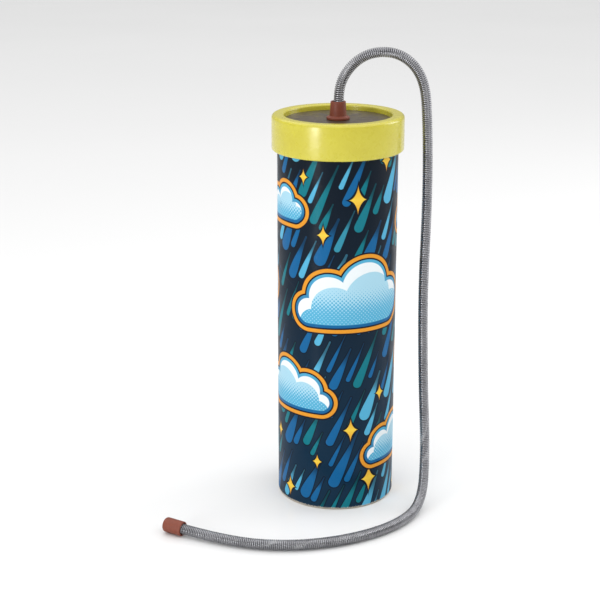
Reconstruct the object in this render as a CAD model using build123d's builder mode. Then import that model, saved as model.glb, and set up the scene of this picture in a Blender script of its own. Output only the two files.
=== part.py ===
"""Thunder tube: a paper tube, open below, whose film head carries a long, limp coil spring.

Units are millimetres. The origin is the middle of the open end, and +Z runs up the tube to the head.
"""

from build123d import *
import math
import os

# Paper tube
tube_length = 168.0
bore_diameter = 47.0
liner_ply = 0.4
core_wall = 1.5
wrap_ply = 0.25
glue_line = 0.03
ply_setback = 0.6

# Film head
film_thickness = 0.3
film_skirt = 7.5
film_edge_radius = 0.22
skirt_clearance = 0.05

# Collar
collar_wall = 2.2
collar_height = 15.0
lip_overhang = 0.7
collar_lip = 2.4
grip_height = 3.2
grip_clearance = 0.05
collar_top_radius = 1.5
collar_lip_radius = 0.9
collar_foot_radius = 0.8

# Spring
spring_diameter = 4.4
wire_diameter = 0.7
curl_pitch = 4.15
turns_under_pin = 1.5
spring_clearance = 0.4

# Anchor of the spring at the middle of the film
grommet_wall = 0.6
grommet_flange_reach = 1.7
grommet_flange = 1.2
grommet_heel = 1.0
grommet_nipple = 6.4
nipple_reach = 0.4
grommet_play = 0.05
film_hole_play = 0.1
washer_diameter = 14.0
washer_thickness = 1.2
pin_diameter = 0.7
pin_length = 9.0
pin_play = 0.1

# Cap on the spring's free end
cap_wall = 0.7
cap_length = 9.0
cap_floor = 1.0
cap_clearance = 0.25
cap_end_play = 0.3
cap_edge_radius = 0.6
floor_play = 0.3

# Radii and heights that follow
bore_radius = bore_diameter / 2
core_inner_radius = bore_radius + liner_ply + glue_line
core_outer_radius = core_inner_radius + core_wall
wrap_inner_radius = core_outer_radius + glue_line
wrap_outer_radius = wrap_inner_radius + wrap_ply
skirt_inner_radius = core_outer_radius + skirt_clearance
skirt_outer_radius = skirt_inner_radius + film_thickness
film_top = tube_length + film_thickness
collar_top = film_top + collar_lip
collar_foot = collar_top - collar_height
collar_inner_radius = skirt_outer_radius + skirt_clearance
collar_outer_radius = collar_inner_radius + collar_wall
lip_radius = bore_radius - lip_overhang
grip_radius = core_outer_radius + grip_clearance

spring_radius = spring_diameter / 2
grommet_bore_radius = spring_radius + spring_clearance
waist_radius = grommet_bore_radius + grommet_wall
film_hole_radius = waist_radius + film_hole_play
flange_radius = waist_radius + grommet_flange_reach
flange_foot = film_top + grommet_play
flange_top = flange_foot + grommet_flange
nipple_top = flange_top + grommet_nipple
heel_top = tube_length - grommet_play
heel_foot = heel_top - grommet_heel
washer_foot = heel_foot - washer_thickness
pin_height = washer_foot - pin_play - pin_diameter / 2

curl_radius = (spring_diameter - wire_diameter) / 2
root_height = pin_height - turns_under_pin * curl_pitch
cap_inner_radius = spring_radius + cap_clearance
cap_outer_radius = cap_inner_radius + cap_wall
lying_height = spring_radius + floor_play
cap_height = cap_outer_radius + floor_play

# The spring's middle line: up through the head, over the rim, down beside the tube and round its foot
route_points = [
    (0, 0, root_height),
    (0, 0, root_height + 13),
    (0.7, 0, film_top + 17.2),
    (10.8, 0, film_top + 27.8),
    (25.6, 0, film_top + 28.2),
    (36, 0, film_top + 17.8),
    (37.8, -0.5, film_top - 3),
    (38.4, -1.5, 133),
    (37.4, -2, 93),
    (38.6, -3, 50),
    (40, -8, 20),
    (37.5, -25, lying_height),
    (26, -45, lying_height),
    (5, -59, lying_height),
    (-21, -65, lying_height),
    (-48, -60, lying_height),
    (-72, -47, cap_height),
]


def corner_radii(points):
    """Radius at each inner point: as large as its two runs allow."""
    radii = []
    for before, corner, after in zip(points, points[1:], points[2:]):
        arriving = Vector(corner) - Vector(before)
        leaving = Vector(after) - Vector(corner)
        turn = math.radians(arriving.get_angle(leaving))
        shorter_run = min(arriving.length, leaving.length)
        radii.append(0.45 * shorter_run / math.tan(turn / 2))
    return radii


route_radii = corner_radii(route_points)
print("route radii, mm:", [round(radius, 1) for radius in route_radii])

with BuildLine() as route_line:
    FilletPolyline(*route_points, radius=route_radii)
route = route_line.wire()
cap_seat = route @ 1
cap_direction = route % 1


def curl_samples(per_turn):
    """Points and directions of the spring's wire, per_turn to each curl, on a frame that never twists."""
    step = curl_pitch / per_turn
    count = int((route.length - wire_diameter) / step)
    turn_rate = 2 * math.pi / curl_pitch
    sideways = Vector(1, 0, 0)
    samples = []
    for index in range(count + 1):
        distance = index * step
        middle = route.position_at(distance, position_mode=PositionMode.LENGTH)
        along = route.tangent_at(distance, position_mode=PositionMode.LENGTH)
        sideways = (sideways - along * sideways.dot(along)).normalized()
        across = along.cross(sideways)
        angle = turn_rate * distance - 2 * math.pi * turns_under_pin
        outward = sideways * math.cos(angle) + across * math.sin(angle)
        round_axis = across * math.cos(angle) - sideways * math.sin(angle)
        direction = (along + round_axis * (curl_radius * turn_rate)).normalized()
        samples.append((middle + outward * curl_radius, direction))
    return samples


def biarc(start, leaving, end, arriving):
    """Two arcs from start to end that meet smoothly and take the directions given at both ends."""
    gap = end - start
    both = leaving + arriving
    opening = 2 * (1 - leaving.dot(arriving))
    reach = (math.sqrt(gap.dot(both) ** 2 + opening * gap.dot(gap)) - gap.dot(both)) / opening
    first_corner = start + leaving * reach
    last_corner = end - arriving * reach
    joint = (first_corner + last_corner) * 0.5
    joint_direction = (last_corner - first_corner).normalized()
    return [
        Edge.make_tangent_arc(start, leaving, joint),
        Edge.make_tangent_arc(joint, joint_direction, end),
    ]


def least_gap(samples, per_turn):
    """Least clear space between one stretch of wire and any other, over half a curl away."""
    points = [tuple(point) for point, direction in samples]
    skip = per_turn // 2 + 1
    nearest = min(
        math.dist(point, other)
        for index, point in enumerate(points)
        for other in points[index + skip :]
    )
    return nearest - wire_diameter


half_turns = curl_samples(2)
first_point, first_direction = half_turns[0]
last_point, last_direction = half_turns[-1]
tail_start = first_point - first_direction * wire_diameter
tail_end = last_point + last_direction * wire_diameter
wire_edges = [Edge.make_line(tail_start, first_point)]
for (start, leaving), (end, arriving) in zip(half_turns, half_turns[1:]):
    wire_edges.extend(biarc(start, leaving, end, arriving))
wire_edges.append(Edge.make_line(last_point, tail_end))
wire_path = Wire(wire_edges)

curl_count = (len(half_turns) - 1) / 2
samples_per_turn = 16
print("spring: route", round(route.length, 1), "mm, curls", curl_count)
print("least gap, mm:", round(least_gap(curl_samples(samples_per_turn), samples_per_turn), 3))

# Paper tube: liner and core, and the printed wrap that runs from the open end to the collar
with BuildPart() as inner_liner:
    with BuildSketch(Plane.XY.offset(ply_setback)):
        Circle(bore_radius + liner_ply)
        Circle(bore_radius, mode=Mode.SUBTRACT)
    extrude(amount=tube_length - ply_setback)

with BuildPart() as tube_core:
    with BuildSketch(Plane.XY):
        Circle(core_outer_radius)
        Circle(core_inner_radius, mode=Mode.SUBTRACT)
    extrude(amount=tube_length)

with BuildPart() as printed_wrap:
    with BuildSketch(Plane.XY.offset(ply_setback)):
        Circle(wrap_outer_radius)
        Circle(wrap_inner_radius, mode=Mode.SUBTRACT)
    extrude(amount=collar_foot - ply_setback)

# Film head: a disc on the tube's end with a skirt turned down round the core
with BuildPart() as drumhead:
    with BuildSketch(Plane.XZ):
        with BuildLine():
            Polyline(
                (film_hole_radius, tube_length),
                (skirt_inner_radius, tube_length),
                (skirt_inner_radius, tube_length - film_skirt),
                (skirt_outer_radius, tube_length - film_skirt),
                (skirt_outer_radius, film_top),
                (film_hole_radius, film_top),
                close=True,
            )
        make_face()
    revolve(axis=Axis.Z)
    film_rings = drumhead.edges().filter_by(GeomType.CIRCLE).group_by(Axis.Z)[-1].sort_by(SortBy.RADIUS)
    fillet(film_rings[-1], radius=min(film_edge_radius, 0.8 * film_thickness))

# Collar: a moulded ring whose lip presses the film on the tube's end and whose grip holds the core
with BuildPart() as collar:
    with BuildSketch(Plane.XZ):
        with BuildLine():
            Polyline(
                (lip_radius, film_top),
                (collar_inner_radius, film_top),
                (collar_inner_radius, collar_foot + grip_height),
                (grip_radius, collar_foot + grip_height),
                (grip_radius, collar_foot),
                (collar_outer_radius, collar_foot),
                (collar_outer_radius, collar_top),
                (lip_radius, collar_top),
                close=True,
            )
        make_face()
    revolve(axis=Axis.Z)
    top_rings = collar.edges().filter_by(GeomType.CIRCLE).group_by(Axis.Z)[-1].sort_by(SortBy.RADIUS)
    fillet(top_rings[-1], radius=collar_top_radius)
    lip_ring = collar.edges().filter_by(GeomType.CIRCLE).group_by(Axis.Z)[-1].sort_by(SortBy.RADIUS)
    fillet(lip_ring[0], radius=collar_lip_radius)
    foot_rings = collar.edges().filter_by(GeomType.CIRCLE).group_by(Axis.Z)[0].sort_by(SortBy.RADIUS)
    fillet(foot_rings[-1], radius=collar_foot_radius)

# Anchor: a rubber bush in the film, a washer behind it and a pin through the spring's last curls
with BuildPart() as grommet:
    with BuildSketch(Plane.XZ):
        with BuildLine():
            Polyline(
                (grommet_bore_radius, heel_foot),
                (flange_radius, heel_foot),
                (flange_radius, heel_top),
                (waist_radius, heel_top),
                (waist_radius, flange_foot),
                (flange_radius, flange_foot),
                (flange_radius, flange_top),
                (waist_radius + nipple_reach, flange_top),
                (waist_radius, nipple_top),
                (grommet_bore_radius, nipple_top),
                close=True,
            )
        make_face()
    revolve(axis=Axis.Z)

with BuildPart() as inner_washer:
    with BuildSketch(Plane.XY.offset(washer_foot)):
        Circle(washer_diameter / 2)
        Circle(grommet_bore_radius, mode=Mode.SUBTRACT)
    extrude(amount=washer_thickness)

with BuildPart() as cross_pin:
    with BuildSketch(Plane(origin=(0, 0, pin_height), z_dir=(0, 1, 0))):
        Circle(pin_diameter / 2)
    extrude(amount=pin_length / 2, both=True)

# Spring: one round wire, curl by curl along the route
with BuildPart() as spring:
    with BuildSketch(Plane(origin=tail_start, z_dir=first_direction)):
        Circle(wire_diameter / 2)
    sweep(path=wire_path)
print(
    "spring volume over wire section times length:",
    round(spring.part.volume / (math.pi * (wire_diameter / 2) ** 2 * wire_path.length), 4),
)

# Cap: a soft cup over the spring's last curls
cap_mouth = cap_seat - cap_direction * (cap_length - cap_floor - cap_end_play)
with BuildPart() as tip_cap:
    with BuildSketch(Plane(origin=cap_mouth, z_dir=cap_direction)):
        Circle(cap_outer_radius)
    extrude(amount=cap_length)
    fillet(tip_cap.edges().filter_by(GeomType.CIRCLE), radius=cap_edge_radius)
    with BuildSketch(Plane(origin=cap_mouth, z_dir=cap_direction)):
        Circle(cap_inner_radius)
    extrude(amount=cap_length - cap_floor, mode=Mode.SUBTRACT)

os.makedirs("parts", exist_ok=True)
for label, piece in {
    "inner_liner": inner_liner,
    "tube_core": tube_core,
    "printed_wrap": printed_wrap,
    "drumhead": drumhead,
    "collar": collar,
    "grommet": grommet,
    "inner_washer": inner_washer,
    "cross_pin": cross_pin,
    "spring": spring,
    "tip_cap": tip_cap,
}.items():
    piece.part.label = label
    export_step(piece.part, f"parts/{label}.step")
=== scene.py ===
"""Looks of the thunder tube: a printed paper tube, a moulded collar, a film head and a limp coil spring.

Places and sizes are in metres, in the part's own frame: the origin is the middle of the open end and +Z
runs up the tube. The sizes of prints and grains are in millimetres.
"""

import bpy
import bmesh
import math
import numpy as np
from mathutils import Matrix, Vector


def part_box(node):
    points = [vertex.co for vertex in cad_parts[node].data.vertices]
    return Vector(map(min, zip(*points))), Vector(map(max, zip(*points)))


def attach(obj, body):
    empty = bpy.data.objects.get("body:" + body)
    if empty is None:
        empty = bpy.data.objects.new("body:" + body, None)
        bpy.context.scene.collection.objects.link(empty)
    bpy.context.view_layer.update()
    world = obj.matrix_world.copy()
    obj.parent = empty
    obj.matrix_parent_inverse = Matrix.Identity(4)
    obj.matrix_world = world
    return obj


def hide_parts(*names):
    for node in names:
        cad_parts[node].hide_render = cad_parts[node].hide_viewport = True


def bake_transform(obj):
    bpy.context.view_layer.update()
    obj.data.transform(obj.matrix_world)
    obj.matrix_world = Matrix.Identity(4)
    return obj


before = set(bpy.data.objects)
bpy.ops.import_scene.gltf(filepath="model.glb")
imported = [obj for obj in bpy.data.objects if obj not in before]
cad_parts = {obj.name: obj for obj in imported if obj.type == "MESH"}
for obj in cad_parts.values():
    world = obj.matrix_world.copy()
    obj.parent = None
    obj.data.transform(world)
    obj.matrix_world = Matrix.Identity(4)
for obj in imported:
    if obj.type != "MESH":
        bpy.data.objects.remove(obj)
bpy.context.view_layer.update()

MM = 0.001
TURN = 2 * math.pi


def turned_sizes(node):
    """Outer radius, foot and top of a node that is round about the tube's axis."""
    low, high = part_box(node)
    return high.x, low.z, high.z


# Sizes that the frame gives
core_radius, core_foot, core_top = turned_sizes("tube_core")
liner_radius, liner_foot, liner_top = turned_sizes("inner_liner")
wrap_radius, wrap_foot, wrap_top = turned_sizes("printed_wrap")
skirt_radius, skirt_foot, film_top = turned_sizes("drumhead")
collar_radius, collar_foot, collar_top = turned_sizes("collar")
flange_radius, heel_foot, nipple_top = turned_sizes("grommet")
washer_radius, washer_foot, washer_top = turned_sizes("inner_washer")
pin_low, pin_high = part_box("cross_pin")
pin_middle = (pin_low + pin_high) / 2
pin_radius = pin_high.x
pin_half_length = pin_high.y

# Paper tube
liner_thickness = 0.4 * MM
liner_gap = 0.03 * MM
wrap_thickness = 0.25 * MM
paper_rounding = 0.1 * MM
bore_radius = liner_radius - liner_thickness
core_bore_radius = liner_radius + liner_gap
core_plies = 3
ply_groove = 0.1 * MM
# Strips of paper are wound on a slant: rise of a strip for its run round the tube, and its width upwards
winding_slope = 0.55
winding_pitch = 44.0 * MM
winding_swell = 0.03 * MM
# Two strips to a turn of the liner, so that they meet
liner_pitch = TURN * bore_radius * winding_slope / 2
# The wrap's end laps over its start, behind
lap_width = 9.0 * MM
lap_step = 0.2 * MM
lap_climb = 2.5 * MM
lap_edge = 0.03 * MM
wrap_rings = 48

# Head
film_thickness = 0.3 * MM
film_hole_radius = 3.3 * MM
film_rounding = 0.22 * MM
film_gap = 0.05 * MM
film_rings = 22
wrinkle_height = 0.07 * MM
# Wrinkles of the film: waves round the head and where each begins
wrinkle_waves = [(7, 0.4), (12, 2.1), (19, 1.0)]
collar_gap = 0.05 * MM
collar_inner_radius = skirt_radius + collar_gap
collar_foot_rounding = 0.8 * MM
collar_top_rounding = 1.5 * MM
grip_radius = core_radius + collar_gap
grip_height = 3.2 * MM
grip_rounding = 0.2 * MM
lip_overhang = 0.7 * MM
lip_radius = bore_radius - lip_overhang
lip_rounding = 0.9 * MM

# Bush, washer and pin
bush_bore_radius = 2.6 * MM
waist_radius = 3.2 * MM
heel_height = 1.0 * MM
heel_top = heel_foot + heel_height
heel_rounding = 0.3 * MM
flange_height = 1.2 * MM
flange_foot = film_top + film_gap
flange_top = flange_foot + flange_height
flange_foot_rounding = 0.25 * MM
flange_top_rounding = 0.45 * MM
nipple_foot_radius = 3.6 * MM
nipple_foot_rounding = 0.5 * MM
nipple_top_rounding = 0.3 * MM
nipple_mouth_rounding = 0.2 * MM
washer_rim_rounding = 0.3 * MM
washer_bore_rounding = 0.2 * MM
pin_rounding = 0.15 * MM

# Cap on the spring's free end
cap_radius = 3.15 * MM
cap_bore_radius = 2.45 * MM
cap_length = 9.0 * MM
cap_floor = 1.0 * MM
cap_end_play = 0.3 * MM
cap_end_rounding = 1.1 * MM
cap_mouth_rounding = 0.4 * MM
cap_lip_rounding = 0.15 * MM
cap_floor_rounding = 0.3 * MM

# Spring
spring_radius = 2.2 * MM
wire_radius = 0.35 * MM
wire_sides = 8
steps_per_coil = 16
coil_pitch = 0.8 * MM
# The first turns stand open for the pin, and then the wire closes up
root_pitch = 4.15 * MM
open_length = 8.5 * MM
closing_length = 3.0 * MM
root_height = 159.075 * MM
lying_height = 2.5 * MM
cap_height = 3.45 * MM

# The spring's middle line: up through the head, over the rim, down beside the tube and round its foot
spring_route = [
    (0, 0, root_height),
    (0, 0, root_height + 0.013),
    (0.0007, 0, film_top + 0.0172),
    (0.0108, 0, film_top + 0.0278),
    (0.0256, 0, film_top + 0.0282),
    (0.036, 0, film_top + 0.0178),
    (0.0378, -0.0005, film_top - 0.003),
    (0.0384, -0.0015, 0.133),
    (0.0374, -0.002, 0.093),
    (0.0386, -0.003, 0.05),
    (0.04, -0.008, 0.02),
    (0.0375, -0.025, lying_height),
    (0.026, -0.045, lying_height),
    (0.005, -0.059, lying_height),
    (-0.021, -0.065, lying_height),
    (-0.048, -0.06, lying_height),
    (-0.072, -0.047, cap_height),
]
# Points of the smooth line between two places of the route, and marks along it from which turns are counted
route_resolution = 48
route_marks = 5000

# The spring starts to bend where it leaves the bush, and swings wholly past the arch over the rim
bend_start = nipple_top - root_height
bend_onset = 12.0 * MM
bend_end = 130.0 * MM
bend_fade = 60.0 * MM


# Materials

# Most of a noise lies in this range
NOISE_LOW = 0.3
NOISE_HIGH = 0.7
# Sockets of the mixing node that carry colours
MIX_FIRST = 6
MIX_SECOND = 7
MIX_RESULT = 2
# Parts whole numbers that are paired, so that no two pairs share a chance
PAIR_STRIDE = 131.0


class Field:
    """A number or colour over a surface: an output of a shader node, which can be reckoned with."""

    def __init__(self, nodes, socket):
        self.nodes = nodes
        self.socket = socket

    def reckon(self, operation, *others):
        node = self.nodes.node("ShaderNodeMath", operation=operation)
        for socket, value in zip(node.inputs, (self, *others)):
            self.nodes.plug(value, socket)
        return Field(self.nodes, node.outputs[0])

    def __add__(self, other):
        return self.reckon("ADD", other)

    def __sub__(self, other):
        return self.reckon("SUBTRACT", other)

    def __mul__(self, other):
        return self.reckon("MULTIPLY", other)

    def __truediv__(self, other):
        return self.reckon("DIVIDE", other)

    def least(self, other):
        return self.reckon("MINIMUM", other)

    def most(self, other):
        return self.reckon("MAXIMUM", other)

    def size(self):
        return self.reckon("ABSOLUTE")

    def floor(self):
        return self.reckon("FLOOR")

    def part(self):
        return self.reckon("FRACT")

    def power(self, exponent):
        return self.reckon("POWER", exponent)

    def hypot(self, other):
        return (self * self + other * other).reckon("SQRT")

    def spread(self, low, high, new_low, new_high):
        """The range low to high stretched to the range new_low to new_high, and held there outside it."""
        node = self.nodes.node("ShaderNodeMapRange", interpolation_type="SMOOTHSTEP")
        for socket, value in zip(node.inputs, (self, low, high, new_low, new_high)):
            self.nodes.plug(value, socket)
        return Field(self.nodes, node.outputs[0])

    def varied(self, low, high):
        """A noise stretched to run from low to high."""
        return self.spread(NOISE_LOW, NOISE_HIGH, low, high)

    def past(self, edge, soft):
        """0 where a number is under the edge, 1 where it is over, with a soft step above the edge."""
        return self.spread(edge, edge + soft, 0.0, 1.0)

    def inside(self, edge=0.0, soft=0.12):
        """1 where a distance is under the edge, 0 where it is over, with a soft step about the edge."""
        return self.spread(edge - soft, edge + soft, 1.0, 0.0)


class Nodes:
    """A shader's node tree, with short ways to add to it."""

    def __init__(self, tree):
        self.tree = tree

    def node(self, kind, **settings):
        made = self.tree.nodes.new(kind)
        for name, value in settings.items():
            setattr(made, name, value)
        return made

    def plug(self, value, socket):
        """Sets a socket to a plain value, or links it to a field."""
        if isinstance(value, Field):
            self.tree.links.new(value.socket, socket)
        else:
            socket.default_value = value

    def chances(self, first, second):
        """Three chance numbers from 0 to 1 for each pair of small whole numbers."""
        pair = first * PAIR_STRIDE + second
        texture = self.node("ShaderNodeTexWhiteNoise", noise_dimensions="1D")
        self.plug(pair, texture.inputs["W"])
        split = self.node("ShaderNodeSeparateColor")
        self.tree.links.new(texture.outputs["Color"], split.inputs[0])
        return [Field(self, socket) for socket in split.outputs]

    def mix(self, share, first, second):
        """The first colour where share is 0, the second where it is 1."""
        node = self.node("ShaderNodeMix", data_type="RGBA")
        self.plug(share, node.inputs[0])
        self.plug(first, node.inputs[MIX_FIRST])
        self.plug(second, node.inputs[MIX_SECOND])
        return Field(self, node.outputs[MIX_RESULT])


class Surface(Nodes):
    """A material in the making: its shader and its patterns, with sizes in millimetres."""

    def __init__(self, name, values):
        self.material = bpy.data.materials.new(name)
        self.material.use_nodes = True
        super().__init__(self.material.node_tree)
        self.shader = self.tree.nodes["Principled BSDF"]
        for socket, value in values.items():
            self.shader.inputs[socket].default_value = value
        self.place = self.node("ShaderNodeTexCoord").outputs["Object"]

    def set(self, **fields):
        """Links fields to the shader's sockets of those names, with _ for a space."""
        for name, field in fields.items():
            self.plug(field, self.shader.inputs[name.replace("_", " ")])

    def axes(self):
        split = self.node("ShaderNodeSeparateXYZ")
        self.tree.links.new(self.place, split.inputs[0])
        return [Field(self, socket) / MM for socket in split.outputs]

    def unrolled(self, radius):
        """Places on a tube of this radius laid flat: around from the front, and up from the open end."""
        x, y, up = self.axes()
        return x.reckon("ARCTAN2", y * -1.0) * (radius / MM), up

    def noise(self, grain, detail=3.0, stretch=(1, 1, 1)):
        """Cloudy variation from 0 to 1 whose grain is this size, drawn out along the axes by stretch."""
        mapping = self.node("ShaderNodeMapping")
        self.tree.links.new(self.place, mapping.inputs["Vector"])
        mapping.inputs["Scale"].default_value = [1 / (grain * MM * factor) for factor in stretch]
        texture = self.node("ShaderNodeTexNoise")
        self.tree.links.new(mapping.outputs[0], texture.inputs["Vector"])
        texture.inputs["Scale"].default_value = 1.0
        texture.inputs["Detail"].default_value = detail
        return Field(self, texture.outputs[0])

    def bump(self, height, depth, under=None):
        """A normal for a height from 0 to 1 that stands for this depth, on top of another normal."""
        node = self.node("ShaderNodeBump")
        node.inputs["Distance"].default_value = depth * MM
        self.plug(height, node.inputs["Height"])
        if under:
            self.plug(under, node.inputs["Normal"])
        return Field(self, node.outputs[0])


class Motif(Nodes):
    """A motif of the print, made once as a node group and stamped on the sheet as often as it is wanted.

    Its fields are the ink and the cover under it, the place on the sheet and the numbers that lay it out.
    The cover is 1 where a motif is printed, and 0 on the bare ground.
    """

    def __init__(self, name, numbers):
        super().__init__(bpy.data.node_groups.new(name, "ShaderNodeTree"))
        sockets = self.tree.interface
        for in_out in ("INPUT", "OUTPUT"):
            sockets.new_socket("ink", in_out=in_out, socket_type="NodeSocketColor")
            sockets.new_socket("cover", in_out=in_out, socket_type="NodeSocketFloat")
        for number in ("around", "up", *numbers):
            sockets.new_socket(number, in_out="INPUT", socket_type="NodeSocketFloat")
        # The last inlet is Blender's spare one
        *inlets, _ = self.node("NodeGroupInput").outputs
        self.fields = [Field(self, socket) for socket in inlets]
        self.outlets = self.node("NodeGroupOutput").inputs

    def finish(self, ink, cover):
        self.plug(ink, self.outlets[0])
        self.plug(cover, self.outlets[1])

    def stamp(self, paper, *values):
        node = paper.node("ShaderNodeGroup", node_tree=self.tree)
        for socket, value in zip(node.inputs, values):
            paper.plug(value, socket)
        return Field(paper, node.outputs[0]), Field(paper, node.outputs[1])


def colour(red, green, blue):
    """A colour given as 0 to 255 on the screen, as the shader's linear numbers by the sRGB formula."""
    linear = [((part / 255 + 0.055) / 1.055) ** 2.4 for part in (red, green, blue)]
    return (*linear, 1.0)


# Storm print, laid out on the unrolled wrap: around from the front, up from the open end
INK_NIGHT = colour(3, 19, 33)
INK_DUSK = colour(7, 42, 65)
INK_BLUE = colour(16, 96, 150)
INK_TEAL = colour(12, 116, 130)
INK_SKY = colour(84, 172, 208)
INK_PALE = colour(168, 212, 230)
INK_WHITE = colour(234, 241, 244)
INK_ORANGE = colour(226, 150, 44)
INK_YELLOW = colour(240, 202, 70)
PAPER_WORN = colour(186, 180, 168)

rain_lean = math.radians(24)
# Wide and narrow lanes of rain by turns: start and width of the lane, then the cell length, half length
# and half width of its drops
lane_pair = 9.4
rain_lanes = [
    (0.0, 5.8, 30.4, 13.0, 2.7),
    (5.8, 3.6, 20.6, 8.8, 1.5),
]
drop_keyline = 0.4
# A drop's head is wide and its tail narrow, so it sits this share of its half width above the cell's middle
drop_lift = 0.4
# Shares of the half length and half width that the shortest and the slimmest drops have
shortest_drop = 0.62
slimmest_drop = 0.65
# A drop's tail: its width as a share of the head's, its strength of ink, and the share of the drop along
# which it fades
tail_width = 0.2
tail_strength = 0.25
tail_fade = 0.6
# Chances from which a drop is teal or sky blue
teal_from = 0.40
sky_from = 0.72
chance_soft = 0.02

# Round lobes of a cloud: place along and up from the middle of its flat base, and radius
cloud_lobes = [
    (-8.0, 11.0, 8.0),
    (5.0, 14.0, 9.5),
    (15.0, 8.0, 7.5),
]
cloud_base_half_length = 15.0
cloud_base_radius = 5.5
cloud_height = 23.5
# The pale belly is the cloud's own shape, moved along and down from the lit edge
belly_along = 1.8
belly_down = 4.6
# Clouds: around, up, size and which way they face
clouds = [
    (6.0, 84.0, 1.25, 1),
    (-21.0, 45.0, 0.92, -1),
    (29.0, 20.0, 0.8, 1),
    (-30.0, 128.0, 0.66, 1),
    (58.0, 58.0, 0.95, -1),
    (50.0, 122.0, 0.8, 1),
    (-58.0, 90.0, 0.95, 1),
    (-60.0, 20.0, 0.85, -1),
]
keyline = 0.7
outline_width = 1.6
rim_width = 1.3
rim_soft = 0.15
# Dots of the belly, which shrink upwards: pitch, then the largest radius and its softness as shares of the
# pitch, and the share of the cloud's shading at which they end
dot_pitch = 1.7
dot_radius = 0.56
dot_soft = 0.06
dots_end = 0.8

spark_count = 52
spark_start = 0.12
# Room that sparks leave round the clouds, and beside the lap behind
spark_room = 8.5
spark_lap_room = 4.0
spark_reach = 6.4
# Sparks take one of these sizes after another by this step, from the least share of the reach to the whole
spark_sizes = 7
spark_size_step = 5
least_spark = 0.55
# Form of a spark: width for its height, hollowness of its sides, size of its outline, and softness
spark_slimness = 0.62
spark_hollow = 0.6
spark_outline = 1.25
spark_soft = 0.04

# Worn open end of the wrap, and the ridge at the edge of each strip, as shares of the strip
worn_height = 1.15
worn_soft = 0.3
worn_raggedness = 1.6
worn_roughening = 0.3
ridge_rise = 0.03
ridge_end = 0.2


def rain(paper, ink, cover, around, up):
    """Slanted drops on the bare ground, one to a cell, each with its own length, width and blue."""
    bare = cover * -1.0 + 1.0
    along = up * math.cos(rain_lean) + around * math.sin(rain_lean)
    across = around * math.cos(rain_lean) - up * math.sin(rain_lean)
    for lane_start, lane_width, cell_length, half_length, half_width in rain_lanes:
        lane = ((across - lane_start) / lane_pair).floor()
        shift = paper.chances(lane, lane_width)[0] * cell_length
        cell = ((along + shift) / cell_length).floor()
        chance_length, chance_width, chance_ink = paper.chances(lane, cell)
        length = chance_length.spread(0.0, 1.0, shortest_drop * half_length, half_length)
        off_lane = across - lane * lane_pair - (lane_start + lane_width / 2)
        off_cell = along + shift - (cell + 0.5) * cell_length - drop_lift * half_width
        fall = (off_cell / length).spread(-1.0, 1.0, 1.0, 0.0)
        head_width = chance_width.spread(0.0, 1.0, slimmest_drop * half_width, half_width)
        width = head_width * (fall * (1 - tail_width) + tail_width)
        distance = (off_cell.size() - length).most(0.0).hypot(off_lane) - width
        blues = paper.mix(chance_ink.past(teal_from, chance_soft), INK_BLUE, INK_TEAL)
        blues = paper.mix(chance_ink.past(sky_from, chance_soft), blues, INK_SKY)
        strength = fall.spread(0.0, tail_fade, tail_strength, 1.0)
        ink = paper.mix(distance.inside(drop_keyline) * bare, ink, INK_NIGHT)
        ink = paper.mix(distance.inside() * strength * bare, ink, blues)
    return ink


def spark_motif():
    """A four-pointed spark in a dark outline, yellow in the middle and orange at its tips."""
    motif = Motif("spark", ["spark_around", "spark_up", "reach"])
    ink, cover, around, up, spark_around, spark_up, reach = motif.fields
    sideways = (around - spark_around).size() / (reach * spark_slimness)
    upright = (up - spark_up).size() / reach
    star = sideways.power(spark_hollow) + upright.power(spark_hollow)
    outline = star.inside(spark_outline, spark_soft)
    ink = motif.mix(outline, ink, INK_NIGHT)
    gold = motif.mix(upright, INK_YELLOW, INK_ORANGE)
    motif.finish(motif.mix(star.inside(1.0, spark_soft), ink, gold), cover.most(outline))
    return motif


def near_cloud(around, up):
    """Whether a place on the sheet is so near a cloud that a spark there would be cut."""
    for cloud_around, cloud_up, size, _ in clouds:
        half_length = (cloud_base_half_length + cloud_base_radius) * size + spark_room
        half_height = cloud_height / 2 * size + spark_room
        middle_up = cloud_up + cloud_height / 2 * size
        if math.hypot((around - cloud_around) / half_length, (up - middle_up) / half_height) < 1:
            return True
    return False


def sparks(paper, ink, cover, around, up):
    """Sparks strewn evenly by the golden ratio, in several sizes, clear of the clouds and of the lap."""
    golden = (math.sqrt(5) - 1) / 2
    girth = TURN * wrap_radius / MM
    farthest = girth / 2 - spark_lap_room
    motif = spark_motif()
    for index in range(spark_count):
        spark_around = ((index * golden + spark_start) % 1 - 0.5) * girth
        spark_up = (index + 0.5) / spark_count * wrap_top / MM
        if abs(spark_around) < farthest and not near_cloud(spark_around, spark_up):
            size = index * spark_size_step % spark_sizes / (spark_sizes - 1)
            reach = spark_reach * (least_spark + (1 - least_spark) * size)
            ink, cover = motif.stamp(paper, ink, cover, around, up, spark_around, spark_up, reach)
    return ink, cover


def cloud_edge(along, up):
    """Distance from a cloud's edge, under 0 inside it."""
    past_base = (along.size() - cloud_base_half_length).most(0.0)
    distance = past_base.hypot(up - cloud_base_radius) - cloud_base_radius
    for lobe_along, lobe_up, lobe_radius in cloud_lobes:
        distance = distance.least((along - lobe_along).hypot(up - lobe_up) - lobe_radius)
    return distance


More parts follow.
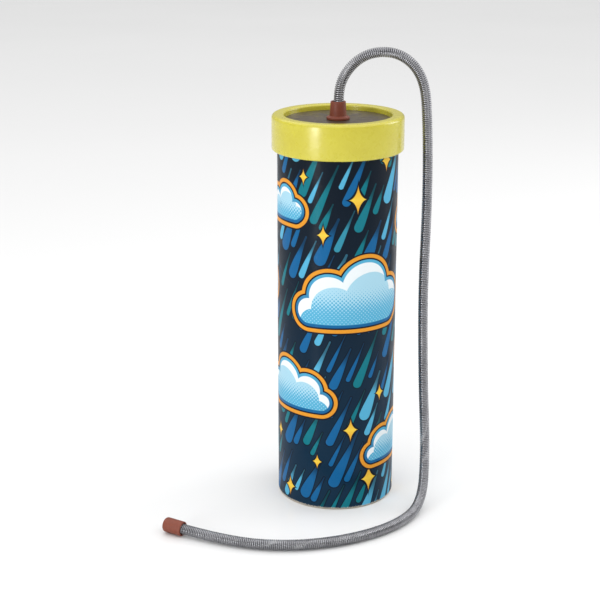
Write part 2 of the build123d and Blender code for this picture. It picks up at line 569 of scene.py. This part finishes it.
def cloud_motif():
    """A cloud with a white top, a pale dotted belly and a blue rim, in a dark, orange and dark outline."""
    motif = Motif("cloud", ["cloud_around", "cloud_up", "size", "facing"])
    ink, cover, around, up, cloud_around, cloud_up, size, facing = motif.fields
    cloud_along = (around - cloud_around) / (size * facing)
    height = (up - cloud_up) / size
    distance = cloud_edge(cloud_along, height) * size
    outline = distance.inside(2 * keyline + outline_width)
    ink = motif.mix(outline, ink, INK_NIGHT)
    ink = motif.mix(distance.inside(keyline + outline_width), ink, INK_ORANGE)
    ink = motif.mix(distance.inside(keyline), ink, INK_NIGHT)
    shading = height.spread(0.0, cloud_height, 0.0, 1.0)
    ink = motif.mix(distance.inside(), ink, motif.mix(shading, INK_BLUE, INK_SKY))
    belly = cloud_edge(cloud_along - belly_along, height + belly_down) * size
    body = motif.mix(belly.inside(), INK_WHITE, INK_PALE)
    dot_across = ((around + up) / dot_pitch).part() - 0.5
    dot_along = ((around - up) / dot_pitch).part() - 0.5
    dots = dot_across.hypot(dot_along) - shading.spread(0.0, dots_end, dot_radius, 0.0)
    body = motif.mix(dots.inside(0.0, dot_soft) * belly.inside(), body, INK_SKY)
    motif.finish(motif.mix(distance.inside(-rim_width, rim_soft), ink, body), cover.most(outline))
    return motif


def storm_print():
    """Varnished paper printed with clouds, rain and sparks on a night sky."""
    paper = Surface(
        "storm_print",
        {"Specular IOR Level": 0.08, "Coat Weight": 0.1, "Coat Roughness": 0.14},
    )
    around, up = paper.unrolled(wrap_radius)
    ink = paper.mix(up.spread(0.0, wrap_top / MM, 1.0, 0.0), INK_NIGHT, INK_DUSK)
    ink, cover = sparks(paper, ink, 0.0, around, up)
    motif = cloud_motif()
    for cloud in clouds:
        ink, cover = motif.stamp(paper, ink, cover, around, up, *cloud)
    ink = rain(paper, ink, cover, around, up)
    fibre = paper.noise(grain=0.5, detail=4.0)
    worn = (up - wrap_foot / MM + fibre * worn_raggedness).inside(worn_height, worn_soft)
    paper.set(Base_Color=paper.mix(worn, ink, PAPER_WORN))
    paper.set(Roughness=paper.noise(grain=6.0).varied(0.34, 0.46) + worn * worn_roughening)
    winding = ((up + around * winding_slope) / (winding_pitch / MM)).part()
    ridge = winding.past(0.0, ridge_rise) * winding.spread(ridge_rise, ridge_end, 1.0, 0.0)
    paper.set(Normal=paper.bump(ridge, depth=0.05, under=paper.bump(paper.noise(grain=1.1), depth=0.012)))
    return paper.material


# Plain materials
LEMON_DEEP = colour(195, 183, 46)
LEMON_LIGHT = colour(207, 199, 62)
FILM_DARK = colour(58, 48, 38)
FILM_LIGHT = colour(88, 76, 62)
RUBBER_DARK = colour(108, 46, 28)
RUBBER_LIGHT = colour(136, 66, 42)
STEEL_DARK = colour(124, 124, 128)
STEEL_LIGHT = colour(178, 178, 182)
BOARD_SEAM = colour(128, 120, 108)
BOARD_DARK = colour(150, 142, 130)
BOARD_LIGHT = colour(196, 188, 174)
KRAFT_SEAM = colour(96, 70, 46)
KRAFT_DARK = colour(148, 112, 76)
KRAFT_LIGHT = colour(186, 148, 104)
FIBRE_DARK = colour(186, 178, 160)
FIBRE_LIGHT = colour(216, 210, 194)
FLOOR_PALE = (0.86, 0.86, 0.86, 1)

# Thickness of a layer of board, and the share of it that its seam takes
board_layer = 0.3
board_seam = 0.35
# Share of a kraft strip that the seam at each of its edges takes
kraft_seam = 0.012


def collar_plastic():
    """Semi-gloss lemon-yellow moulded plastic."""
    plastic = Surface("collar_plastic", {"IOR": 1.53, "Coat Weight": 0.3, "Coat Roughness": 0.2})
    plastic.set(Base_Color=plastic.mix(plastic.noise(grain=9.0), LEMON_DEEP, LEMON_LIGHT))
    plastic.set(Roughness=plastic.noise(grain=2.5).spread(0.25, 0.75, 0.24, 0.34))
    plastic.set(Normal=plastic.bump(plastic.noise(grain=1.6, detail=2.0), depth=0.005))
    return plastic.material


def drum_film():
    """Satin grey-brown film with a cloudy body."""
    film = Surface("drum_film", {"Specular IOR Level": 0.35, "Coat Weight": 0.1, "Coat Roughness": 0.18})
    film.set(Base_Color=film.mix(film.noise(grain=7.0, detail=4.0), FILM_DARK, FILM_LIGHT))
    film.set(Roughness=film.noise(grain=3.0).varied(0.30, 0.44))
    film.set(Normal=film.bump(film.noise(grain=0.9), depth=0.004))
    return film.material


def bush_rubber():
    """Matt red-brown rubber."""
    rubber = Surface("bush_rubber", {"IOR": 1.52})
    rubber.set(Base_Color=rubber.mix(rubber.noise(grain=1.4, detail=4.0), RUBBER_DARK, RUBBER_LIGHT))
    rubber.set(Roughness=rubber.noise(grain=0.8).varied(0.46, 0.62))
    rubber.set(Normal=rubber.bump(rubber.noise(grain=0.25), depth=0.02))
    return rubber.material


def drawn_steel(name):
    """Bright drawn wire with faint tarnish."""
    steel = Surface(name, {"Metallic": 1.0})
    steel.set(Base_Color=steel.mix(steel.noise(grain=5.0, detail=4.0), STEEL_DARK, STEEL_LIGHT))
    steel.set(Roughness=steel.noise(grain=0.8).varied(0.24, 0.38))
    return steel.material


def grey_board():
    """Cut board: grey fibres in thin layers, which show as rings on the tube's end."""
    board = Surface("grey_board", {"Specular IOR Level": 0.25})
    x, y, _ = board.axes()
    layer = (x.hypot(y) / board_layer).part().past(0.0, board_seam)
    fibres = board.noise(grain=0.35, detail=5.0)
    pulp = board.mix(fibres, BOARD_DARK, BOARD_LIGHT)
    board.set(Base_Color=board.mix(layer, BOARD_SEAM, pulp))
    board.set(Roughness=fibres.varied(0.8, 0.95))
    board.set(Normal=board.bump(fibres, depth=0.05))
    return board.material


def kraft_ply():
    """Brown kraft paper wound on a slant, with a seam at each strip's edge."""
    kraft = Surface("kraft_ply", {"Specular IOR Level": 0.3})
    around, up = kraft.unrolled(bore_radius)
    winding = ((up + around * winding_slope) / (liner_pitch / MM)).part()
    seam = winding.past(0.0, kraft_seam) * winding.spread(1 - kraft_seam, 1.0, 1.0, 0.0)
    fibres = kraft.noise(grain=0.6, detail=5.0, stretch=(1, 1, 4))
    paper = kraft.mix(fibres, KRAFT_DARK, KRAFT_LIGHT)
    kraft.set(Base_Color=kraft.mix(seam, KRAFT_SEAM, paper))
    kraft.set(Roughness=fibres.varied(0.72, 0.88))
    kraft.set(Normal=kraft.bump(seam, depth=0.12, under=kraft.bump(fibres, depth=0.03)))
    return kraft.material


def washer_fibre():
    """Matt off-white fibre."""
    fibre = Surface("washer_fibre", {"Specular IOR Level": 0.3})
    speck = fibre.noise(grain=0.5, detail=5.0)
    fibre.set(Base_Color=fibre.mix(speck, FIBRE_DARK, FIBRE_LIGHT))
    fibre.set(Roughness=speck.varied(0.6, 0.78))
    fibre.set(Normal=fibre.bump(speck, depth=0.03))
    return fibre.material


def pale_floor():
    """Plain pale floor with a low sheen."""
    pale = Surface("pale_floor", {"Base Color": FLOOR_PALE, "Specular IOR Level": 0.2})
    pale.set(Roughness=pale.noise(grain=400.0).spread(0.0, 1.0, 0.16, 0.2))
    return pale.material


# Meshes

# The most of a turned piece's map that one plain stretch of its outline takes
longest_map_step = 10.0 * MM
weld_distance = 0.0005 * MM


def add_object(name, data):
    made = bpy.data.objects.new(name, data)
    bpy.context.scene.collection.objects.link(made)
    return made


def add_piece(name, mesh, sharp_degrees=35):
    """A shown piece made from a mesh, smooth but for its sharp edges."""
    mesh.polygons.foreach_set("use_smooth", [True] * len(mesh.polygons))
    mesh.set_sharp_from_angle(angle=math.radians(sharp_degrees))
    return add_object(name, mesh)


def rounded_outline(corners, steps=8):
    """Points of a closed outline whose corners (radius, height, rounding) are arcs of that rounding."""
    outline = []
    count = len(corners)
    for index, (radius, height, rounding) in enumerate(corners):
        corner = Vector((radius, height))
        if rounding == 0:
            outline.append(tuple(corner))
            continue
        to_last = (Vector(corners[index - 1][:2]) - corner).normalized()
        to_next = (Vector(corners[(index + 1) % count][:2]) - corner).normalized()
        half_angle = to_last.angle(to_next) / 2
        middle = corner + (to_last + to_next).normalized() * (rounding / math.sin(half_angle))
        first = corner + to_last * (rounding / math.tan(half_angle)) - middle
        final = corner + to_next * (rounding / math.tan(half_angle)) - middle
        start = math.atan2(first.y, first.x)
        sweep = math.atan2(first.x * final.y - first.y * final.x, first.dot(final))
        for step in range(steps + 1):
            angle = start + sweep * step / steps
            outline.append((middle.x + rounding * math.cos(angle), middle.y + rounding * math.sin(angle)))
    return outline


def lathe(name, outline, segments=160, extra_angles=(), shape=None):
    """A piece turned about the tube's axis from a closed outline; shape may move its points (N, 3).

    Its map runs round the piece one way and along the outline the other.
    """
    angles = np.sort([*(np.arange(segments) * TURN / segments), *extra_angles])
    segments = len(angles)
    radii = np.array([point[0] for point in outline])
    heights = np.array([point[1] for point in outline])
    steps = np.hypot(np.roll(radii, -1) - radii, np.roll(heights, -1) - heights)
    map_up = np.concatenate([[0], np.cumsum(np.minimum(steps, longest_map_step))])
    map_up /= map_up[-1]
    map_around = np.append(angles, TURN) / TURN
    points = np.stack(
        [
            np.outer(radii, np.cos(angles)),
            np.outer(radii, np.sin(angles)),
            np.repeat(heights[:, None], segments, axis=1),
        ],
        axis=-1,
    ).reshape(-1, 3)
    if shape:
        points = shape(points)
    faces = []
    corners = []
    for ring in range(len(outline)):
        upper = (ring + 1) % len(outline)
        for segment in range(segments):
            beside = (segment + 1) % segments
            faces.append(
                (
                    ring * segments + segment,
                    ring * segments + beside,
                    upper * segments + beside,
                    upper * segments + segment,
                )
            )
            corners += [
                (map_around[segment], map_up[ring]),
                (map_around[segment + 1], map_up[ring]),
                (map_around[segment + 1], map_up[ring + 1]),
                (map_around[segment], map_up[ring + 1]),
            ]
    mesh = bpy.data.meshes.new(name)
    mesh.from_pydata(points.tolist(), [], faces)
    mesh.uv_layers.new(name="OFBake").data.foreach_set("uv", np.ravel(corners))
    tidy = bmesh.new()
    tidy.from_mesh(mesh)
    bmesh.ops.remove_doubles(tidy, verts=tidy.verts, dist=weld_distance)
    bmesh.ops.recalc_face_normals(tidy, faces=tidy.faces)
    tidy.to_mesh(mesh)
    tidy.free()
    return add_piece(name, mesh)


# Spring and its cap

def read_route(places):
    """Points along the smooth line that has these places as its control points."""
    curve = bpy.data.curves.new("spring_route", "CURVE")
    curve.dimensions = "3D"
    curve.resolution_u = route_resolution
    spline = curve.splines.new("NURBS")
    spline.points.add(len(places) - 1)
    for point, place in zip(spline.points, places):
        point.co = (*place, 1)
    spline.order_u = 3
    spline.use_endpoint_u = True
    holder = add_object("spring_route", curve)
    bpy.context.view_layer.update()
    line = bpy.data.meshes.new_from_object(holder)
    points = np.array([vertex.co for vertex in line.vertices])
    bpy.data.objects.remove(holder)
    bpy.data.curves.remove(curve)
    bpy.data.meshes.remove(line)
    return points


def unit(vectors):
    return vectors / np.linalg.norm(vectors, axis=-1, keepdims=True)


def carried_frames(points, sideways):
    """Directions along, sideways and across at each point of a line, on a frame that never twists."""
    along = unit(np.gradient(points, axis=0))
    side = np.empty_like(points)
    for index, direction in enumerate(along):
        sideways = unit(sideways - direction * np.dot(sideways, direction))
        side[index] = sideways
    return along, side, np.cross(along, side)


def distances(points):
    """How far along a line each of its points lies."""
    runs = np.linalg.norm(np.diff(points, axis=0), axis=1)
    return np.concatenate([[0], np.cumsum(runs)])


def make_spring(route):
    """The spring's wire as one tube, and how far along the route each of its points lies."""
    distance = distances(route)
    marks = np.linspace(0, distance[-1] - cap_end_play, route_marks)
    closed = np.clip((marks - open_length) / closing_length, 0, 1)
    turns_per_metre = 1 / root_pitch + (1 / coil_pitch - 1 / root_pitch) * closed
    turns = np.cumsum(turns_per_metre) * marks[1]
    count = int((turns[-1] - turns[0]) * steps_per_coil)
    turn = turns[0] + np.arange(count + 1) / steps_per_coil
    reach = np.interp(turn, turns, marks)
    middle = np.stack([np.interp(reach, distance, route[:, axis]) for axis in range(3)], axis=-1)
    _, side, across = carried_frames(middle, np.array([1.0, 0, 0]))
    pin_turn = np.interp(pin_middle.z - root_height, marks, turns)
    angle = (TURN * (turn - pin_turn))[:, None]
    wire = middle + (side * np.cos(angle) + across * np.sin(angle)) * (spring_radius - wire_radius)
    _, wire_side, wire_across = carried_frames(wire, unit(wire[0] - middle[0]))
    ring = np.arange(wire_sides) * TURN / wire_sides
    points = (
        wire[:, None]
        + wire_side[:, None] * (wire_radius * np.cos(ring))[None, :, None]
        + wire_across[:, None] * (wire_radius * np.sin(ring))[None, :, None]
    ).reshape(-1, 3)
    faces = [tuple(reversed(range(wire_sides)))]
    for step in range(count):
        first = step * wire_sides
        following = first + wire_sides
        for corner in range(wire_sides):
            beside = (corner + 1) % wire_sides
            faces.append((first + corner, first + beside, following + beside, following + corner))
    faces.append(tuple(count * wire_sides + corner for corner in range(wire_sides)))
    mesh = bpy.data.meshes.new("coil_spring")
    mesh.from_pydata(points.tolist(), [], faces)
    return add_piece("coil_spring", mesh, sharp_degrees=60), np.repeat(reach, wire_sides)


route = read_route(spring_route)
spring, spring_reach = make_spring(route)

cap = lathe(
    "spring_tip_cap",
    rounded_outline(
        [
            (0, cap_length, 0),
            (cap_radius, cap_length, cap_end_rounding),
            (cap_radius, 0, cap_mouth_rounding),
            (cap_bore_radius, 0, cap_lip_rounding),
            (cap_bore_radius, cap_length - cap_floor, cap_floor_rounding),
            (0, cap_length - cap_floor, 0),
        ]
    ),
    segments=64,
)
cap_direction = Vector(route[-1] - route[-2]).normalized()
cap_mouth = Vector(route[-1]) - cap_direction * (cap_length - cap_floor - cap_end_play)
cap_turn = cap_direction.to_track_quat("Z", "Y").to_matrix().to_4x4()
cap.data.transform(Matrix.Translation(cap_mouth) @ cap_turn)


# Paper tube

def wrap_outline():
    """Section of the wrap: a thin wall with rings enough to swell and dip."""
    inner_radius = wrap_radius - wrap_thickness
    heights = np.linspace(wrap_foot + 2 * paper_rounding, wrap_top, wrap_rings)
    foot = [(inner_radius, wrap_foot, 0), (wrap_radius, wrap_foot, paper_rounding)]
    outer_wall = [(wrap_radius, height, 0) for height in heights]
    return rounded_outline([*foot, *outer_wall, (inner_radius, wrap_top, 0)], steps=4)


def lap_and_swell(points):
    """Lifts the strip where the wrap's end laps over its start, behind, and swells it along the winding."""
    turn = np.arctan2(points[:, 0], -points[:, 1])
    radius = np.hypot(points[:, 0], points[:, 1])
    outer = radius > wrap_radius - wrap_thickness / 2
    before_end = (math.pi - turn) * wrap_radius
    lap = np.clip(1 - (before_end - lap_width) / lap_climb, 0, 1)
    winding = np.sin(TURN * (points[:, 2] + turn * wrap_radius * winding_slope) / winding_pitch)
    lift = outer * (lap_step * lap + winding_swell * winding)
    points[:, :2] *= (1 + lift / radius)[:, None]
    return points


def plied_end():
    """Corners across the cut end of the board tube, with a shallow groove between its plies."""
    ply = (core_radius - core_bore_radius) / core_plies
    corners = []
    for index in range(core_plies):
        inner = core_bore_radius + index * ply
        corners += [
            (inner, core_foot + ply_groove, 0),
            (inner + ply_groove, core_foot, 0),
            (inner + ply - ply_groove, core_foot, 0),
        ]
    return [*corners, (core_radius, core_foot + ply_groove, 0)]


# The wrap ends straight behind, where its print ends too
lap_angle = math.pi / 2
wrap = lathe(
    "printed_paper_wrap",
    wrap_outline(),
    segments=192,
    extra_angles=[lap_angle - lap_edge / wrap_radius, lap_angle + lap_edge / wrap_radius],
    shape=lap_and_swell,
)
core = lathe(
    "board_tube",
    rounded_outline(
        [
            *plied_end(),
            (core_radius, core_top, 0),
            (core_bore_radius, core_top, 0),
        ]
    ),
)
liner = lathe(
    "kraft_liner",
    rounded_outline(
        [
            (bore_radius, liner_foot, paper_rounding),
            (liner_radius, liner_foot, paper_rounding),
            (liner_radius, liner_top, 0),
            (bore_radius, liner_top, 0),
        ],
        steps=4,
    ),
)


# Head

def wrinkle(points):
    """Raises faint radial wrinkles between the bush and the collar's lip."""
    turn = np.arctan2(points[:, 1], points[:, 0])
    radius = np.hypot(points[:, 0], points[:, 1])
    share = np.clip((radius - flange_radius) / (lip_radius - flange_radius), 0, 1)
    waves = sum(np.sin(count * turn + start) for count, start in wrinkle_waves)
    points[:, 2] += wrinkle_height * np.sin(math.pi * share) ** 2 * waves
    return points


film_radii = np.linspace(film_hole_radius, lip_radius, film_rings)
film = lathe(
    "film_head",
    rounded_outline(
        [
            *[(radius, core_top, 0) for radius in film_radii],
            (skirt_radius - film_thickness, core_top, 0),
            (skirt_radius - film_thickness, skirt_foot, 0),
            (skirt_radius, skirt_foot, 0),
            (skirt_radius, film_top, film_rounding),
            *[(radius, film_top, 0) for radius in film_radii[::-1]],
        ],
        steps=4,
    ),
    segments=192,
    shape=wrinkle,
)
collar = lathe(
    "moulded_collar",
    rounded_outline(
        [
            (lip_radius, film_top, 0),
            (collar_inner_radius, film_top, 0),
            (collar_inner_radius, collar_foot + grip_height, 0),
            (grip_radius, collar_foot + grip_height, 0),
            (grip_radius, collar_foot, grip_rounding),
            (collar_radius, collar_foot, collar_foot_rounding),
            (collar_radius, collar_top, collar_top_rounding),
            (lip_radius, collar_top, lip_rounding),
        ]
    ),
    segments=192,
)
bush = lathe(
    "rubber_bush",
    rounded_outline(
        [
            (bush_bore_radius, heel_foot, 0),
            (flange_radius, heel_foot, heel_rounding),
            (flange_radius, heel_top, heel_rounding),
            (waist_radius, heel_top, 0),
            (waist_radius, flange_foot, 0),
            (flange_radius, flange_foot, flange_foot_rounding),
            (flange_radius, flange_top, flange_top_rounding),
            (nipple_foot_radius, flange_top, nipple_foot_rounding),
            (waist_radius, nipple_top, nipple_top_rounding),
            (bush_bore_radius, nipple_top, nipple_mouth_rounding),
        ]
    ),
    segments=96,
)
washer = lathe(
    "back_washer",
    rounded_outline(
        [
            (bush_bore_radius, washer_foot, washer_bore_rounding),
            (washer_radius, washer_foot, washer_rim_rounding),
            (washer_radius, washer_top, washer_rim_rounding),
            (bush_bore_radius, washer_top, washer_bore_rounding),
        ]
    ),
    segments=96,
)
pin = lathe(
    "anchor_pin",
    rounded_outline(
        [
            (0, -pin_half_length, 0),
            (pin_radius, -pin_half_length, pin_rounding),
            (pin_radius, pin_half_length, pin_rounding),
            (0, pin_half_length, 0),
        ]
    ),
    segments=32,
)
pin.data.transform(Matrix.Translation(pin_middle) @ Matrix.Rotation(math.radians(90), 4, "X"))

# Floor, light and camera
floor_reach = 6.0
tube_middle = (0, 0, 0.09)
world_strength = 0.4
# The camera stands in front of the tube, a little higher than its head
camera_lens = 85
camera_elevation = math.radians(17.5)
camera_distance = 0.62
camera_aim = Vector((-0.016, 0, 0.0885))


def add_floor():
    """A wide floor on the plane that the tube stands on."""
    sides = [(-1, -1), (1, -1), (1, 1), (-1, 1)]
    mesh = bpy.data.meshes.new("floor")
    mesh.from_pydata([(x * floor_reach, y * floor_reach, 0) for x, y in sides], [], [(0, 1, 2, 3)])
    mesh.materials.append(pale_floor())
    add_object("floor", mesh)


def add_light(name, place, power, width, height, aim=tube_middle):
    """A soft box of this power in watts that points at the tube."""
    data = bpy.data.lights.new(name, "AREA")
    data.energy = power
    data.shape = "RECTANGLE"
    data.size = width
    data.size_y = height
    light = add_object(name, data)
    light.location = place
    light.rotation_euler = (Vector(aim) - Vector(place)).to_track_quat("-Z", "Y").to_euler()


def add_world():
    """Even white light from all round."""
    world = bpy.data.worlds.new("studio")
    world.use_nodes = True
    background = world.node_tree.nodes["Background"]
    background.inputs["Color"].default_value = (1, 1, 1, 1)
    background.inputs["Strength"].default_value = world_strength
    bpy.context.scene.world = world


def add_camera():
    data = bpy.data.cameras.new("camera")
    data.lens = camera_lens
    camera = add_object("camera", data)
    back = Vector((0, -math.cos(camera_elevation), math.sin(camera_elevation)))
    camera.location = camera_aim + back * camera_distance
    camera.rotation_euler = (-back).to_track_quat("-Z", "Y").to_euler()
    bpy.context.scene.camera = camera


add_floor()
add_light("sky_light", place=(0, 0, 5.0), power=720.0, width=14.0, height=14.0)
add_light("key_light", place=(-0.6, -0.7, 0.19), power=2.6, width=0.2, height=0.36, aim=(0, 0, 0.15))
add_light("rim_light", place=(0.75, 0.25, 0.4), power=2.0, width=0.4, height=0.4)
add_world()
bpy.context.scene.view_settings.view_transform = "Standard"
add_camera()

# Each piece: its CAD node, material slot, material and, unless it bends, the body that it rides on
rubber = bush_rubber()
dressing = [
    (wrap, "printed_wrap", "printed_paper", storm_print(), "tube"),
    (core, "tube_core", "greyboard", grey_board(), "tube"),
    (liner, "inner_liner", "kraft_ply", kraft_ply(), "tube"),
    (collar, "collar", "collar_plastic", collar_plastic(), "tube"),
    (film, "drumhead", "film", drum_film(), None),
    (bush, "grommet", "bush_rubber", rubber, "head_centre"),
    (washer, "inner_washer", "washer_fibre", washer_fibre(), "head_centre"),
    (pin, "cross_pin", "pin_steel", drawn_steel("pin_steel"), "spring_root"),
    (spring, "spring", "spring_steel", drawn_steel("spring_steel"), None),
    (cap, "tip_cap", "bush_rubber", rubber, "spring_run"),
]
for piece, node, slot, material, body in dressing:
    piece.data.materials.append(material)
    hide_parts(node)
    if body:
        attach(piece, body)


# Film and spring: their meshes set in the part's frame, and the shares by which they follow the head and
# the spring's swing

def eased(share):
    """A share held between 0 and 1, with gentle ends."""
    share = np.clip(share, 0, 1)
    return share * share * (3 - 2 * share)


def swing_share(reach):
    """How far the spring, at each reach along its route, follows its swing about the pin.

    It bends less the further it is from the pin, so no stretch of it is sheared more than another.
    """
    distance = distances(route)
    from_pin = np.linalg.norm(route - np.array(pin_middle), axis=1)
    bending = eased((distance - bend_start) / bend_onset) * eased((bend_end - distance) / bend_fade)
    share = np.cumsum(bending / from_pin * np.gradient(distance))
    return np.interp(reach, distance, share / share[-1])


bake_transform(film)
film_places = np.array([vertex.co for vertex in film.data.vertices])
film_reach = np.hypot(film_places[:, 0], film_places[:, 1])
eased((lip_radius - film_reach) / (lip_radius - flange_radius))

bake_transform(spring)
swing_share(spring_reach)
